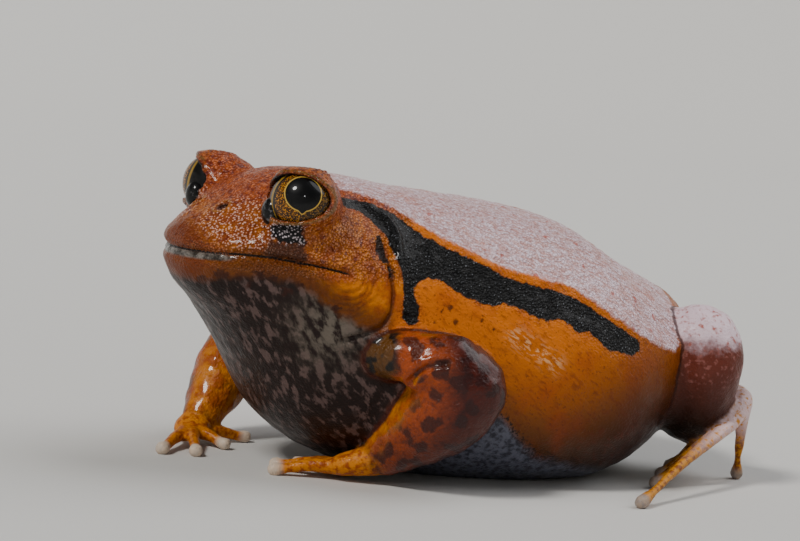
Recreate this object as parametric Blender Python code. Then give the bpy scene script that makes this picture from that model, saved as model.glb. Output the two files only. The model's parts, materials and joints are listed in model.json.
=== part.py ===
"""A tomato frog at life size, sitting on its belly with its arms bent under it.

The frog faces -Y, its left side is at +X, and it rests on the plane z = 0. Shapes are drawn in
hundredths of the length from snout to vent, and SHARE brings them to metres. The head and trunk
are one loft through named stations, fused with the lids, brows and cheeks, and parted by a thin
cut at the neck. A limb is fused from tapered lengths, carved by what it grows from, and parted by
a thin cut at its elbow or knee. Its hand or foot is carved by the end of the limb.
"""

import math

import bmesh
import bpy
import numpy as np
from mathutils import Matrix, Vector

# The frog's length in metres, the room that touching pieces keep, and how far past the neck cut
# each half is still whole when its triangles are thinned
SNOUT_TO_VENT = 0.092
SHARE = SNOUT_TO_VENT / 100
GAP = 0.0003
CUT_MARGIN = 0.002

# Grids that pieces are fused on, in metres, and the triangles left in each finished piece
BODY_GRID = 0.00045
LIMB_GRID = 0.0004
HEAD_TRIANGLES = 4300
TORSO_TRIANGLES = 2000
ARM_TRIANGLES = 700
HAND_TRIANGLES = 650
LEG_TRIANGLES = 700
FOOT_TRIANGLES = 900

# Head and trunk from snout to rump: place along the body, half width, top, bottom, height of
# the widest line, and how square the upper and the lower half of the section are
BODY_STATIONS = (
    (-56.2, 4.3, 40.4, 33.4, 36.9, 2.0, 2.0),
    (-53.8, 9.2, 42.4, 30.6, 36.6, 2.0, 2.0),
    (-49.5, 13.8, 45.0, 26.8, 36.2, 2.1, 2.0),
    (-43.5, 17.5, 49.2, 19.0, 35.2, 2.2, 2.0),
    (-36.5, 20.2, 51.0, 8.6, 33.2, 2.2, 2.2),
    (-28.0, 22.0, 50.3, 3.2, 29.3, 2.2, 2.3),
    (-18.0, 25.5, 48.9, 0.2, 24.7, 2.25, 2.3),
    (-7.0, 29.5, 47.8, -1.2, 20.5, 2.2, 2.4),
    (5.0, 32.3, 46.6, -1.6, 18.4, 2.1, 2.5),
    (15.0, 33.0, 44.6, -1.6, 18.0, 2.0, 2.4),
    (24.0, 30.0, 40.0, -1.2, 20.5, 1.95, 2.15),
    (32.0, 24.6, 36.1, 0.4, 22.0, 2.15, 1.95),
    (37.5, 19.2, 34.0, 4.0, 22.0, 2.4, 1.85),
    (41.5, 13.6, 31.6, 9.0, 20.0, 2.6, 1.9),
    (43.4, 8.0, 28.6, 13.0, 18.8, 2.4, 2.0),
)
SNOUT_TIP = (0, -57.0, 37.2)
RUMP_TIP = (0, 44.0, 18.2)

# The neck cut runs from behind the ear drums down and forward to the breast
NECK_TOP = (0, -20.5, 50)
NECK_BREAST = (0, -33.5, 9)

# Eyes, the shell of lid round each, the almond between the lids with how far it lies back and up
# from the eye and the way that it opens, and the brow over each eye and the cheek under it
EYE_CENTRE = (15.0, -42.0, 46.5)
EYE_RADIUS = 5.3
LID_THICKNESS = 0.75
LID_OPENING = (6.2, 4.0)
LID_SHIFT = (-0.6, 0.45)
LID_AXIS = (0.70, -0.70, 0.12)
BROW_CENTRE = (13.2, -40.6, 45.9)
BROW_SIZE = (6.0, 6.2, 5.6)
CHEEK_CENTRE = (12.4, -40.4, 40.9)
CHEEK_SIZE = (6.0, 7.6, 4.6)

# The line of the mouth, as heights at places along the head, and the place of its corner
MOUTH_LINE = (
    (-57.5, 37.2), (-51.2, 37.6), (-47.2, 37.5), (-42.5, 36.9), (-39.6, 36.5), (-35.9, 35.7),
    (-33.5, 34.9),
)
MOUTH_CORNER = -33.5
MOUTH_FADE = 5.0
MOUTH_DEPTH = 0.8
LIP_RISE = (0.40, 0.25)

# Nostrils, ear drums, the fold from eye to arm, and the edge of the back, on the left side
NOSTRIL = (4.2, -50.7, 44.4)
EAR_DRUM = (19.6, -29.0, 39.0)
EAR_DRUM_SIZE = (1.7, 2.7)
EAR_FOLD = (
    (14.8, -29.3, 46.0), (16.1, -27.5, 45.2), (17.9, -26.1, 43.8), (19.3, -25.8, 42.0),
    (20.8, -26.3, 39.5), (22.1, -26.5, 36.1), (22.9, -26.3, 32.7), (23.1, -25.6, 30.0),
    (23.4, -24.6, 27.4),
)
EAR_FOLD_RISE, EAR_FOLD_WIDTH = 0.75, 1.1
BACK_EDGE = (
    (9.3, -31.1, 49.1), (13.2, -28.1, 47.6), (15.5, -24.5, 45.9), (18.6, -20.2, 43.3),
    (21.3, -15.2, 40.5), (24.0, -10.7, 38.2), (25.7, -4.2, 36.4), (26.8, 3.2, 35.2),
    (28.3, 8.5, 32.8), (29.6, 14.3, 29.9), (29.8, 20.6, 26.7), (28.3, 26.5, 24.6),
    (24.8, 31.0, 25.0),
)
BACK_EDGE_RISE, BACK_EDGE_WIDTH = 0.75, 1.6

# Arms: the upper arm goes out and back from the shoulder, the forearm folds down and in, and the
# palm lies under it. Rows of a length are its place, half width and half height. A joint is a
# point and the way that the limb runs through it. Tips are the places of the fingertips.
ARMS = {
    "left": {
        "upper": (
            (17.4, -28.6, 22.2, 3.1, 3.0), (23.8, -26, 22.6, 4.1, 3.9), (28.8, -19.9, 21.4, 5.3, 5.8),
        ),
        "lower": (
            (29.4, -17.0, 18.6, 6.1, 7.4), (27.2, -18.5, 14.6, 6.2, 7.4),
            (22.6, -21.0, 9.6, 5.0, 5.8), (18.0, -23.5, 5.4, 3.4, 3.8),
        ),
        "joint": ((29.2, -18.2, 20.3), (0, 0.47, -0.88)),
        "palm": ((18.0, -23.6, 4.6, 2.8, 2.8), (13.2, -28.9, 2.7, 2.6, 1.8)),
        "tips": ((5.9, -27.2), (2.2, -31.2), (3.2, -36.2), (7.2, -38.7)),
    },
    "right": {
        "upper": ((-17, -28, 20.5, 5, 5), (-25, -27, 20.5, 4.8, 4.8), (-30, -25, 18.8, 5.2, 5.6)),
        "lower": (
            (-30, -24.5, 17.5, 5.6, 5.8), (-28.6, -29, 13, 5.4, 6),
            (-26.5, -33, 8, 4.6, 4.8), (-24.8, -35.8, 4.8, 3.4, 3.4),
        ),
        "joint": ((-30, -24.8, 18.2), (-0.48, -0.26, -0.84)),
        "palm": ((-24.6, -36, 4.3, 2.8, 2.8), (-22.3, -39.3, 2.7, 3.0, 1.8)),
        "tips": ((-21.8, -28.5), (-15.5, -36.0), (-10.0, -44.5), (-12.8, -49.5)),
    },
}

# Left leg: the thigh lies along the rump, the shank folds back from the knee, and the foot comes
# forward under it on its toes. A toe is its root and the place of its tip. The right leg is alike.
LEG = {
    "upper": ((9, 29, 14.5, 8, 9.5), (17.8, 32, 19.4, 8.1, 10.1), (24.2, 36.2, 24.4, 6.9, 7.8)),
    "lower": ((24.8, 37.0, 22.6, 6.8, 8), (18.8, 39.6, 15.0, 6.8, 8.9), (12.5, 45.4, 12, 4.2, 4.6)),
    "joint": ((24.5, 36.9, 24), (0.1, 0.99, 0)),
    "foot": (
        (12.0, 46.5, 11.8, 3.0, 3.0), (19.5, 48.6, 14.8, 2.1, 2.2),
        (25.4, 46.3, 14.4, 1.7, 1.8), (27.8, 41.6, 11.2, 1.5, 1.3),
    ),
    "toes": (
        ((25.6, 43.0, 11.4), (13.5, 40.5)),
        ((26.8, 42.0, 11.0), (20.5, 33.0)),
        ((27.6, 41.2, 10.8), (28.0, 26.0)),
        ((28.2, 41.0, 10.8), (42.8, 11.6)),
        ((26.4, 45.6, 12.8), (22.2, 49.2)),
    ),
}

# Fingers and toes: half widths at the knuckle and at the round tip, and the tip's height
FINGER_HALF = 0.95
TOE_HALF = 0.78
TIP_HALF = 1.15
TIP_HEIGHT = 1.0

# Plain finishes: red-brown head, orange flanks, red arms, dark legs and black eyes
HEAD_COLOUR = (0.42, 0.12, 0.03)
TORSO_COLOUR = (0.50, 0.16, 0.03)
ARM_COLOUR = (0.32, 0.06, 0.015)
LEG_COLOUR = (0.28, 0.09, 0.06)
EYE_COLOUR = (0.02, 0.016, 0.01)
WET_SKIN = 0.3
WET_EYE = 0.05


def add_mesh(name, bm):
    """Puts a finished shape in the scene as an object."""
    mesh = bpy.data.meshes.new(name)
    bm.to_mesh(mesh)
    bm.free()
    obj = bpy.data.objects.new(name, mesh)
    bpy.context.scene.collection.objects.link(obj)
    return obj


def twin(obj, name):
    """A copy with a mesh of its own."""
    copy = obj.copy()
    copy.data = obj.data.copy()
    copy.name = name
    bpy.context.scene.collection.objects.link(copy)
    return copy


def on_side(values, side):
    """A place or row on the left side, or its twin on the right."""
    return (values[0] * side, *values[1:])


def eased_between(x, y, at):
    """The values at places at, on a smooth line through x and y that doesn't overshoot."""
    x, y, at = np.asarray(x, float), np.asarray(y, float), np.asarray(at, float)
    step = np.diff(x)
    slope = np.diff(y) / step
    lean = np.zeros_like(y)
    lean[0], lean[-1] = slope[0], slope[-1]
    for i in range(1, len(y) - 1):
        if slope[i - 1] * slope[i] > 0:
            lean[i] = 2 / (1 / slope[i - 1] + 1 / slope[i])
    i = np.clip(np.searchsorted(x, at) - 1, 0, len(step) - 1)
    s = (at - x[i]) / step[i]
    return (
        (2 * s**3 - 3 * s**2 + 1) * y[i]
        + (s**3 - 2 * s**2 + s) * step[i] * lean[i]
        + (3 * s**2 - 2 * s**3) * y[i + 1]
        + (s**3 - s**2) * step[i] * lean[i + 1]
    )


def smooth_path(rows, count):
    """Rows spread along the smooth curve through rows, whose first three values are a place."""
    rows = np.asarray(rows, float)
    length = np.linalg.norm(np.diff(rows[:, :3], axis=0), axis=1)
    t = np.concatenate([[0], np.cumsum(np.sqrt(length))])
    lean = np.gradient(rows, t, axis=0)
    at = np.linspace(0, t[-1], count)
    i = np.clip(np.searchsorted(t, at, side="right") - 1, 0, len(t) - 2)
    step = (t[i + 1] - t[i])[:, None]
    s = (at - t[i])[:, None] / step
    return (
        (2 * s**3 - 3 * s**2 + 1) * rows[i]
        + (s**3 - 2 * s**2 + s) * step * lean[i]
        + (3 * s**2 - 2 * s**3) * rows[i + 1]
        + (s**3 - s**2) * step * lean[i + 1]
    )


def fade(low, high, value):
    """Nought below low, one above high and a smooth rise between."""
    t = np.clip((value - low) / (high - low), 0, 1)
    return t * t * (3 - 2 * t)


def closed_loft(name, rings, first, last):
    """A closed skin over rings of points, with a pole before and after them."""
    bm = bmesh.new()
    made = [[bm.verts.new(Vector(p) * SHARE) for p in ring] for ring in rings]
    sides = len(made[0])
    for a, b in zip(made, made[1:]):
        for j in range(sides):
            k = (j + 1) % sides
            bm.faces.new((a[j], a[k], b[k], b[j]))
    start = bm.verts.new(Vector(first) * SHARE)
    end = bm.verts.new(Vector(last) * SHARE)
    for j in range(sides):
        k = (j + 1) % sides
        bm.faces.new((made[0][k], made[0][j], start))
        bm.faces.new((made[-1][j], made[-1][k], end))
    bmesh.ops.recalc_face_normals(bm, faces=bm.faces)
    return add_mesh(name, bm)


def body_loft(rings=70, sides=56):
    """The head and trunk as one skin through the stations, with rings set closer at the ends."""
    table = np.array(BODY_STATIONS)
    places = table[:, 0]
    even = np.linspace(0, 1, rings)
    eased = (even + 0.5 - 0.5 * np.cos(np.pi * even)) / 2
    skin = []
    for at in places[0] + (places[-1] - places[0]) * eased:
        columns = [float(eased_between(places, table[:, i], at)) for i in range(1, 7)]
        half, top, bottom, widest, roof, belly = columns
        ring = []
        for j in range(sides):
            turn = 2 * math.pi * j / sides
            s, c = math.sin(turn), math.cos(turn)
            power = roof if c > 0 else belly
            reach = top - widest if c > 0 else widest - bottom
            x = half * math.copysign(abs(s) ** (2 / power), s)
            z = widest + reach * math.copysign(abs(c) ** (2 / power), c)
            ring.append((x, at, z))
        skin.append(ring)
    return closed_loft("body", skin, SNOUT_TIP, RUMP_TIP)


def tapered_length(name, path, sides=16, count=24):
    """A round-ended length of flesh along a path of places, half widths and half heights."""
    rows = smooth_path(path, count)
    centre, half, tall = rows[:, :3], rows[:, 3], rows[:, 4]
    along = np.gradient(centre, axis=0)
    along /= np.linalg.norm(along, axis=1)[:, None]
    across = np.cross(along, (0, 0, 1))
    across /= np.linalg.norm(across, axis=1)[:, None]
    rise = np.cross(across, along)
    turns = [2 * math.pi * j / sides for j in range(sides)]

    def ring(i, scale, shift):
        middle = centre[i] + along[i] * shift
        return [
            middle + (across[i] * math.cos(t) * half[i] + rise[i] * math.sin(t) * tall[i]) * scale
            for t in turns
        ]

    first, last = (half[0] + tall[0]) / 2, (half[-1] + tall[-1]) / 2
    cap = [math.radians(angle) for angle in (28, 52, 72)]
    rings = [ring(0, math.sin(a), -first * math.cos(a)) for a in cap]
    rings += [ring(i, 1, 0) for i in range(count)]
    rings += [ring(count - 1, math.sin(a), last * math.cos(a)) for a in reversed(cap)]
    return closed_loft(name, rings, centre[0] - along[0] * first, centre[-1] + along[-1] * last)


def ball(name, centre, size, segments=32):
    """An ellipsoid whose poles lie front and back."""
    bm = bmesh.new()
    bmesh.ops.create_uvsphere(bm, u_segments=segments, v_segments=segments // 2, radius=1)
    lie = Matrix.Rotation(math.pi / 2, 4, "X")
    stretch = Matrix.Diagonal((*(s * SHARE for s in size), 1))
    bm.transform(Matrix.Translation(Vector(centre) * SHARE) @ stretch @ lie)
    return add_mesh(name, bm)


def lid_opening(side):
    """The almond that parts the lids, a long ellipsoid out from the eye."""
    gaze = Vector(on_side(LID_AXIS, side)).normalized()
    level = Vector((0, 0, 1)).cross(gaze).normalized()
    wide, tall = LID_OPENING
    rise = gaze.cross(level)
    back, up = LID_SHIFT
    axes = (level * wide, rise * tall, gaze * EYE_RADIUS * 2)
    centre = Vector(on_side(EYE_CENTRE, side)) + gaze * EYE_RADIUS
    centre += level * back * side + rise * up
    bm = bmesh.new()
    bmesh.ops.create_uvsphere(bm, u_segments=24, v_segments=14, radius=SHARE)
    bm.transform(Matrix.Translation(centre * SHARE) @ Matrix(axes).transposed().to_4x4())
    bmesh.ops.recalc_face_normals(bm, faces=bm.faces)
    return add_mesh("opening", bm)


def digit(name, root, tip, half):
    """A finger or toe that arches from its root down to its round tip on the floor."""
    root, tip = np.array(root, float), np.array((*tip, TIP_HEIGHT), float)
    middle = root * 0.45 + tip * 0.55 + (0, 0, 0.5)
    before_tip = root * 0.13 + tip * 0.87
    path = (
        (*root, half * 1.6, half * 1.3),
        (*middle, half, half),
        (*before_tip, half * 0.85, half * 0.85),
        (*tip, TIP_HALF * 1.05, TIP_HALF),
    )
    return tapered_length(name, path, sides=12, count=12)


def settle(obj):
    """Makes the modified shape the object's own mesh."""
    bpy.context.view_layer.update()
    graph = bpy.context.evaluated_depsgraph_get()
    mesh = bpy.data.meshes.new_from_object(obj.evaluated_get(graph))
    obj.modifiers.clear()
    obj.data = mesh


def fuse(name, pieces, grid, smoothing):
    """One skin round several overlapping pieces, softened where they meet."""
    bm = bmesh.new()
    for piece in pieces:
        bm.from_mesh(piece.data)
        bpy.data.objects.remove(piece)
    obj = add_mesh(name, bm)
    skin = obj.modifiers.new("skin", "REMESH")
    skin.mode = "VOXEL"
    skin.voxel_size = grid
    soften = obj.modifiers.new("soften", "SMOOTH")
    soften.factor = 0.5
    soften.iterations = smoothing
    settle(obj)
    return obj


def thin_out(obj, triangles):
    """Lowers the count of triangles and keeps the shape."""
    count = sum(len(face.vertices) - 2 for face in obj.data.polygons)
    thin = obj.modifiers.new("thin", "DECIMATE")
    thin.ratio = min(1, triangles / count)
    settle(obj)


def keep_largest(obj):
    """Drops every loose scrap but the largest closed surface."""
    bm = bmesh.new()
    bm.from_mesh(obj.data)
    left = set(bm.verts)
    surfaces = []
    while left:
        reached = [left.pop()]
        surface = list(reached)
        while reached:
            for edge in reached.pop().link_edges:
                for vert in edge.verts:
                    if vert in left:
                        left.remove(vert)
                        reached.append(vert)
                        surface.append(vert)
        surfaces.append(surface)
    surfaces.sort(key=len)
    for scrap in surfaces[:-1]:
        bmesh.ops.delete(bm, geom=scrap, context="VERTS")
    bm.to_mesh(obj.data)
    bm.free()


def trim(obj, point, normal, shift=0.0):
    """Cuts off what lies beyond a plane and closes the cut. The shift is in metres."""
    normal = Vector(normal).normalized()
    bm = bmesh.new()
    bm.from_mesh(obj.data)
    cut = bmesh.ops.bisect_plane(
        bm,
        geom=bm.verts[:] + bm.edges[:] + bm.faces[:],
        dist=1e-7,
        plane_co=Vector(point) * SHARE + normal * shift,
        plane_no=normal,
        clear_outer=True,
    )
    rim = [item for item in cut["geom_cut"] if isinstance(item, bmesh.types.BMEdge)]
    bmesh.ops.holes_fill(bm, edges=rim, sides=0)
    bmesh.ops.triangulate(bm, faces=bm.faces[:])
    bm.to_mesh(obj.data)
    bm.free()
    keep_largest(obj)


def swollen(obj):
    """A copy whose skin stands out by the gap, to carve a neighbour with."""
    copy = twin(obj, obj.name + "_room")
    mesh = copy.data
    points = np.empty(len(mesh.vertices) * 3)
    normals = np.empty(len(mesh.vertices) * 3)
    mesh.vertices.foreach_get("co", points)
    mesh.vertices.foreach_get("normal", normals)
    mesh.vertices.foreach_set("co", points + normals * GAP)
    mesh.update()
    return copy


def carve(obj, cutter):
    """Takes the cutter's shape out of an object, and the cutter away."""
    cutter.hide_render = True
    cutter.display_type = "WIRE"
    cut = obj.modifiers.new("cut", "BOOLEAN")
    cut.operation = "DIFFERENCE"
    cut.object = cutter
    settle(obj)
    bpy.data.objects.remove(cutter)
    keep_largest(obj)


def clear_of(obj, neighbours):
    """Carves room for neighbours, and a flat where the piece meets the floor."""
    for neighbour in neighbours:
        carve(obj, swollen(neighbour))
    trim(obj, (0, 0, 0), (0, 0, -1))


def part_at(whole, joint, first_name, second_name, margin=0.0, counts=(None, None)):
    """Parts a piece in two by a thin cut across the way that it runs through a joint."""
    point, way = joint
    back = tuple(-value for value in way)
    halves = []
    for name, normal, count in ((first_name, way, counts[0]), (second_name, back, counts[1])):
        half = twin(whole, name)
        if count:
            trim(half, point, normal, margin)
            thin_out(half, count)
        trim(half, point, normal, -GAP / 2)
        halves.append(half)
    bpy.data.objects.remove(whole)
    return halves


def distance_to(line, points, count=60):
    """How far each point is from a smooth line through a few places."""
    path = smooth_path(line, count)
    nearest = np.full(len(points), np.inf)
    for a, b in zip(path, path[1:]):
        along = b - a
        t = np.clip(((points - a) @ along) / (along @ along), 0, 1)
        nearest = np.minimum(nearest, np.linalg.norm(points - a - t[:, None] * along, axis=1))
    return nearest


def bump(distance, width):
    """One at nought distance, falling away smoothly over a width."""
    return np.exp(-((distance / width) ** 2))


def shape_face(obj):
    """Raises and sinks the skin for the mouth, lips, nostrils, ear drums and folds."""
    mesh = obj.data
    values = np.empty(len(mesh.vertices) * 3)
    mesh.vertices.foreach_get("co", values)
    points = values.reshape(-1, 3) / SHARE
    mesh.vertices.foreach_get("normal", values)
    normals = values.reshape(-1, 3)
    left = points * (1, 1, 1)
    left[:, 0] = np.abs(left[:, 0])

    above = left[:, 2] - eased_between(*zip(*MOUTH_LINE), left[:, 1])
    mouth = 1 - fade(MOUTH_CORNER - MOUTH_FADE, MOUTH_CORNER, left[:, 1])
    rise = -MOUTH_DEPTH * mouth * bump(above, 0.6)
    rise += LIP_RISE[0] * mouth * bump(above - 1.5, 0.9)
    rise += LIP_RISE[1] * mouth * bump(above + 1.7, 1.0)

    away = np.linalg.norm(left - NOSTRIL, axis=1)
    rise += 0.45 * bump(away - 1.5, 0.7) - 1.1 * bump(away, 0.9)

    oval = np.hypot(*((left - EAR_DRUM)[:, 1:] / EAR_DRUM_SIZE).T)
    outside = left[:, 0] > EAR_DRUM[0] / 2
    rise += outside * (0.25 * bump(oval - 1.25, 0.25) - 0.5 * (1 - fade(0.75, 1.15, oval)))

    rise += EAR_FOLD_RISE * bump(distance_to(EAR_FOLD, left), EAR_FOLD_WIDTH)
    rise += BACK_EDGE_RISE * bump(distance_to(BACK_EDGE, left), BACK_EDGE_WIDTH)

    moved = (points + normals * rise[:, None]) * SHARE
    mesh.vertices.foreach_set("co", moved.ravel())
    mesh.update()


def finish(obj, colour, roughness):
    """Gives a piece its own plain finish and soft shading."""
    material = bpy.data.materials.new(obj.name)
    material.use_nodes = True
    shader = material.node_tree.nodes["Principled BSDF"]
    shader.inputs["Base Color"].default_value = (*colour, 1)
    shader.inputs["Roughness"].default_value = roughness
    shader.inputs["Metallic"].default_value = 0
    obj.data.materials.clear()
    obj.data.materials.append(material)
    obj.data.shade_smooth()
    obj.data.set_sharp_from_angle(angle=math.radians(50))


def make_trunk():
    """The head and the torso, parted at the neck, and the eyes in their sockets."""
    flesh = [body_loft()]
    shell = EYE_RADIUS + LID_THICKNESS
    for side in (1, -1):
        flesh.append(ball("lid", on_side(EYE_CENTRE, side), (shell, shell, shell)))
        flesh.append(ball("brow", on_side(BROW_CENTRE, side), BROW_SIZE))
        flesh.append(ball("cheek", on_side(CHEEK_CENTRE, side), CHEEK_SIZE))
    body = fuse("body", flesh, BODY_GRID, 8)
    shape_face(body)
    neck = (0, NECK_TOP[2] - NECK_BREAST[2], NECK_BREAST[1] - NECK_TOP[1])
    counts = (HEAD_TRIANGLES, TORSO_TRIANGLES)
    head, torso = part_at(body, (NECK_TOP, neck), "head", "torso", CUT_MARGIN, counts)
    trim(torso, (0, 0, 0), (0, 0, -1))
    eyes = []
    for side, word in ((1, "left"), (-1, "right")):
        eye = ball("eye_" + word, on_side(EYE_CENTRE, side), (EYE_RADIUS,) * 3, segments=20)
        carve(head, lid_opening(side))
        carve(head, swollen(eye))
        eyes.append(eye)
    return head, torso, eyes


def make_limb(word, upper_name, lower_name, lengths, joint, triangles, neighbours):
    """The two lengths of a bent limb, carved by the trunk and parted at their joint."""
    pieces = [tapered_length("length", length) for length in lengths]
    limb = fuse("limb", pieces, LIMB_GRID, 4)
    thin_out(limb, triangles)
    clear_of(limb, neighbours)
    return part_at(limb, joint, upper_name + "_" + word, lower_name + "_" + word)


def make_end(name, sole, digits, half, triangles, neighbours):
    """A hand or foot with its digits, carved by the limb that it grows from."""
    pieces = [tapered_length("sole", sole)]
    pieces += [digit("digit", root, tip, half) for root, tip in digits]
    end = fuse(name, pieces, LIMB_GRID, 3)
    thin_out(end, triangles)
    clear_of(end, neighbours)
    return end


def make_arm(word, head, torso):
    """Upper arm, forearm and hand of one side."""
    arm = ARMS[word]
    lengths = (arm["upper"], arm["lower"])
    upper, lower = make_limb(
        word, "upper_arm", "forearm", lengths, arm["joint"], ARM_TRIANGLES, (torso, head)
    )
    x, y, z = arm["palm"][-1][:3]
    digits = [((x, y, z - 0.5), tip) for tip in arm["tips"]]
    neighbours = (torso, head, lower)
    hand = make_end("hand_" + word, arm["palm"], digits, FINGER_HALF, HAND_TRIANGLES, neighbours)
    return upper, lower, hand


def make_leg(word, side, torso):
    """Thigh, shank and foot of one side."""
    lengths = [[on_side(row, side) for row in LEG[key]] for key in ("upper", "lower")]
    joint = [on_side(values, side) for values in LEG["joint"]]
    upper, lower = make_limb(word, "thigh", "shank", lengths, joint, LEG_TRIANGLES, (torso,))
    sole = [on_side(row, side) for row in LEG["foot"]]
    digits = [(on_side(root, side), on_side(tip, side)) for root, tip in LEG["toes"]]
    neighbours = (torso, lower, upper)
    foot = make_end("foot_" + word, sole, digits, TOE_HALF, FOOT_TRIANGLES, neighbours)
    return upper, lower, foot


def centre_on_floor(pieces):
    """Moves every piece so that the middle of the whole lies over the origin."""
    corners = np.array([corner[:] for piece in pieces for corner in piece.bound_box])
    middle = (corners.min(axis=0) + corners.max(axis=0)) / 2
    for piece in pieces:
        piece.data.transform(Matrix.Translation((-middle[0], -middle[1], 0)))


for old in list(bpy.data.objects):
    bpy.data.objects.remove(old)

head, torso, eyes = make_trunk()
finish(head, HEAD_COLOUR, WET_SKIN)
finish(torso, TORSO_COLOUR, WET_SKIN)
for eye in eyes:
    finish(eye, EYE_COLOUR, WET_EYE)
everything = [head, torso, *eyes]
for side, word in ((1, "left"), (-1, "right")):
    arm = make_arm(word, head, torso)
    leg = make_leg(word, side, torso)
    for piece in arm:
        finish(piece, ARM_COLOUR, WET_SKIN)
    for piece in leg:
        finish(piece, LEG_COLOUR, WET_SKIN)
    everything += [*arm, *leg]
centre_on_floor(everything)
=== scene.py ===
"""A tomato frog as a still, life-size model: one wet skin over its flesh, eyes and inner lids."""

import json
import math

import bmesh
import bpy
import numpy as np
from mathutils import Matrix, Vector, noise
from mathutils.bvhtree import BVHTree

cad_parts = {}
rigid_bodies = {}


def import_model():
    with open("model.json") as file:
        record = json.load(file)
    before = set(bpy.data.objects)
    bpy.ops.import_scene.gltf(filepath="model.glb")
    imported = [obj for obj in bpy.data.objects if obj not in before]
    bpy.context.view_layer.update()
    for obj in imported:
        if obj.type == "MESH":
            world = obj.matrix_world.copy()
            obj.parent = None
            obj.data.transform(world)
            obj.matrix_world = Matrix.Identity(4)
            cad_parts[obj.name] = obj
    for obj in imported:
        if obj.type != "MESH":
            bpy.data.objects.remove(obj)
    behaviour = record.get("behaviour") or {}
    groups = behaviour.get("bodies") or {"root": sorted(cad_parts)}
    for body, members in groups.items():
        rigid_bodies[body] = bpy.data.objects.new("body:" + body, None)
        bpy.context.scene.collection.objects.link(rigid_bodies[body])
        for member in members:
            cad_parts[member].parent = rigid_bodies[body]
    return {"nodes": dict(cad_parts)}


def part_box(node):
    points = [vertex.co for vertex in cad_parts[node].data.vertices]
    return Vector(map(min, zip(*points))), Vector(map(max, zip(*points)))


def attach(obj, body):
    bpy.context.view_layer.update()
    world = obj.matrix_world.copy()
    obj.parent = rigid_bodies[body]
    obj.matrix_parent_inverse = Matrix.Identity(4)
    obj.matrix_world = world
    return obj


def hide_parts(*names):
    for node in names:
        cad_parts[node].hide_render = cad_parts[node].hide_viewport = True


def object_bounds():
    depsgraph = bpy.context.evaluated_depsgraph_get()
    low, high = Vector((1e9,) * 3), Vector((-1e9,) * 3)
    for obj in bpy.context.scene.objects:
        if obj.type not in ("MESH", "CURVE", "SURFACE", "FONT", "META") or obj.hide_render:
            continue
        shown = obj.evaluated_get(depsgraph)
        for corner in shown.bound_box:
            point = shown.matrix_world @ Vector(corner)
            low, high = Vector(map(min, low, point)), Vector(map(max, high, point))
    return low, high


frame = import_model()
cad_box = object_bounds()

# Skin, shape
# The real skin is one thin, wet, grained sheet from the snout to the toes. It is drawn over the
# solids of the flesh as one closed surface, which is evened out and then folded and grained.

# places are in body units, which are hundredths of the 92 mm from snout to vent
SHARE = 0.00092
EYE_CENTRE = Vector((15.0, -42.0, 46.5))
# these three are in metres
SKIN_OVERLAP = 0.00022
SKIN_GRID = 0.00034
BROW_ROUNDING = 0.0007
SKIN_FACES = 188000

eye_low, eye_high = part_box("eye_left")
drawn_from = np.array((eye_low + eye_high) / 2 - EYE_CENTRE * SHARE)

REGIONS = ("head", "torso", "arm", "hand", "leg", "foot")
REGION_OF = {
    "head": "head",
    "torso": "torso",
    "upper_arm": "arm",
    "forearm": "arm",
    "hand": "hand",
    "thigh": "leg",
    "shank": "leg",
    "foot": "foot",
}


def region_of(node_name):
    """The number of the region that a node of flesh belongs to."""
    plain = node_name.replace("_left", "").replace("_right", "")
    return REGIONS.index(REGION_OF[plain])


flesh = bmesh.new()
flesh_points, flesh_faces, flesh_regions, flesh_nodes = [], [], [], []
for node_name in sorted(frame["nodes"]):
    if node_name.startswith("eye"):
        continue
    flesh_nodes.append(node_name)
    one = bmesh.new()
    one.from_mesh(frame["nodes"][node_name].data)
    bmesh.ops.remove_doubles(one, verts=one.verts, dist=1e-6)
    bmesh.ops.recalc_face_normals(one, faces=one.faces)
    one.normal_update()
    start = len(flesh_points)
    one.verts.index_update()
    flesh_points += [vert.co.copy() for vert in one.verts]
    for face in one.faces:
        flesh_faces.append([start + vert.index for vert in face.verts])
        flesh_regions.append(region_of(node_name))
    for vert in one.verts:
        vert.co += vert.normal * SKIN_OVERLAP
    grown = bpy.data.meshes.new("grown")
    one.to_mesh(grown)
    one.free()
    flesh.from_mesh(grown)
    bpy.data.meshes.remove(grown)
flesh_tree = BVHTree.FromPolygons(flesh_points, flesh_faces)
flesh_regions = np.array(flesh_regions)

bpy.ops.object.select_all(action="DESELECT")
skin_mesh = bpy.data.meshes.new("skin")
flesh.to_mesh(skin_mesh)
flesh.free()
skin = bpy.data.objects.new("skin", skin_mesh)
bpy.context.collection.objects.link(skin)
bpy.context.view_layer.objects.active = skin
skin.select_set(True)


def apply_modifier(kind, **settings):
    """Puts one modifier on the active piece and applies it."""
    modifier = bpy.context.object.modifiers.new(kind.lower(), kind)
    for key, value in settings.items():
        setattr(modifier, key, value)
    bpy.ops.object.modifier_apply(modifier=modifier.name)


def points_of(obj):
    """The places of a piece's vertices as rows, in metres."""
    values = np.empty(len(obj.data.vertices) * 3)
    obj.data.vertices.foreach_get("co", values)
    return values.reshape(-1, 3)


def normals_of(obj):
    """The ways that a piece's vertices face."""
    values = np.empty(len(obj.data.vertices) * 3)
    obj.data.vertices.foreach_get("normal", values)
    return values.reshape(-1, 3)


def place_points(obj, points):
    """Moves a piece's vertices to new places."""
    obj.data.vertices.foreach_set("co", points.ravel())
    obj.data.update()


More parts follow.
